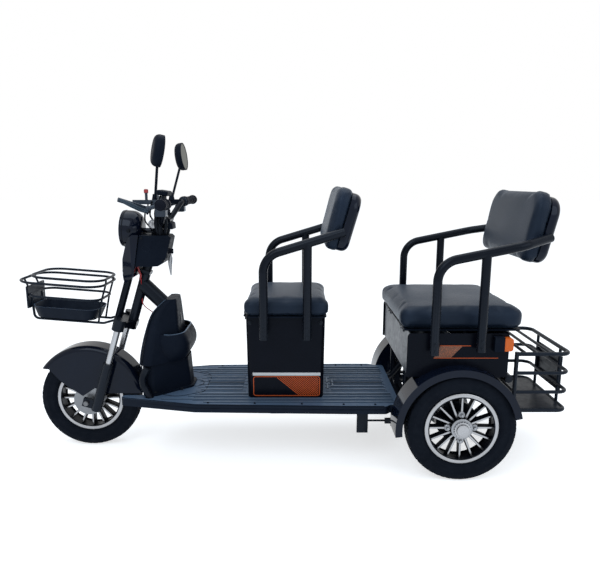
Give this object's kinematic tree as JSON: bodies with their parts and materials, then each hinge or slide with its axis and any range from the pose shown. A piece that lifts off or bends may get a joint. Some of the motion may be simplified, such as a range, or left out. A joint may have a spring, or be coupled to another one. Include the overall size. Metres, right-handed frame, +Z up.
{
  "type": "electric tricycle",
  "caption": "Open electric tricycle with a driver's seat over a flat footboard, a rear bench with armrests, and wire baskets at both ends.",
  "frame": {"origin": "on the ground under the middle of the vehicle's bounding box", "axes": "+X forward, +Y to the vehicle's left, +Z up"},
  "size_m": [2.1502, 0.704, 1.2589],
  "materials": {
    "frame_paint": "gloss black powder coat",
    "rack_paint": "semi-gloss black powder coat",
    "fork_metal": "cast, lightly polished",
    "chrome": "polished",
    "steel": "plain",
    "lever_metal": "black anodised",
    "gloss_black": "high gloss black",
    "box_black": "satin black",
    "grey_panel": "matt grey",
    "plain_black": "grained black",
    "mirror": "silvered glass",
    "lamp_glass": "clear",
    "rubber": "matt",
    "amber_lens": "clear amber",
    "seat_leather": "grained black",
    "tyre": "matt",
    "rim_black": "black with machined faces"
  },
  "bodies": {
    "chassis": {"battery_pack": "plain_black", "belly_pan": "plain_black", "brake_linkage": "frame_paint", "drive_motor": "fork_metal", "footboard": "plain_black", "front_armrest_left": "frame_paint", "front_armrest_right": "frame_paint", "front_backrest_pad": "seat_leather", "front_backrest_shell": "gloss_black", "front_seat_box": "box_black", "leg_pocket": "plain_black", "leg_shield": "plain_black", "main_frame": "frame_paint", "rear_armrest_left": "frame_paint", "rear_armrest_right": "frame_paint", "rear_axle": "frame_paint", "rear_back_panel": "box_black", "rear_backrest_pad": "seat_leather", "rear_backrest_shell": "gloss_black", "rear_basket": "rack_paint", "rear_fender_left": "gloss_black", "rear_fender_right": "gloss_black", "rear_front_panel": "grey_panel", "rear_shocks": "steel", "rear_side_panel_left": "box_black", "rear_side_panel_right": "box_black", "tail_lamp_housings": "plain_black", "tail_lamp_lenses": "amber_lens"},
    "steering": {"fork_stem": "frame_paint", "fork_stanchions": "chrome", "fork_lowers": "frame_paint", "front_axle": "steel", "front_drum": "fork_metal", "front_fender": "gloss_black", "handlebar": "frame_paint", "grips": "rubber", "brake_levers": "lever_metal", "display": "plain_black", "mirrors": "plain_black", "mirror_glasses": "mirror", "headlight_shell": "gloss_black", "headlight_lens": "lamp_glass", "front_panel": "gloss_black", "head_cover": "plain_black", "horn": "chrome", "front_basket": "rack_paint", "front_basket_tray": "plain_black"},
    "front_wheel": {"front_tyre": "tyre", "front_rim": "rim_black"},
    "rear_wheel_left": {"rear_tyre_left": "tyre", "rear_rim_left": "rim_black"},
    "rear_wheel_right": {"rear_tyre_right": "tyre", "rear_rim_right": "rim_black"},
    "front_lid": {"front_seat_pan": "plain_black", "front_seat_cushion": "seat_leather"},
    "rear_lid": {"rear_seat_pan": "plain_black", "rear_seat_cushion": "seat_leather"}
  },
  "joints": [
    {"name": "steering", "type": "hinge", "parent": "chassis", "child": "steering", "pos_m": [0.66938, 0, 0.506], "axis": [-0.3007, 0, 0.9537], "range_deg": [-35, 35]},
    {"name": "front_wheel_spin", "type": "hinge", "parent": "steering", "child": "front_wheel", "pos_m": [0.84738, 0, 0.205], "axis": [0, 1, 0], "continuous": true},
    {"name": "rear_wheel_left_spin", "type": "hinge", "parent": "chassis", "child": "rear_wheel_left", "pos_m": [-0.61962, 0.3, 0.205], "axis": [0, 1, 0], "continuous": true},
    {"name": "rear_wheel_right_spin", "type": "hinge", "parent": "chassis", "child": "rear_wheel_right", "pos_m": [-0.61962, -0.3, 0.205], "axis": [0, 1, 0], "continuous": true},
    {"name": "front_lid_hinge", "type": "hinge", "parent": "chassis", "child": "front_lid", "pos_m": [0.18938, 0, 0.585], "axis": [0, 1, 0], "range_deg": [0, 75]},
    {"name": "rear_lid_hinge", "type": "hinge", "parent": "chassis", "child": "rear_lid", "pos_m": [-0.41662, 0, 0.552], "axis": [0, 1, 0], "range_deg": [0, 75]}
  ]
}
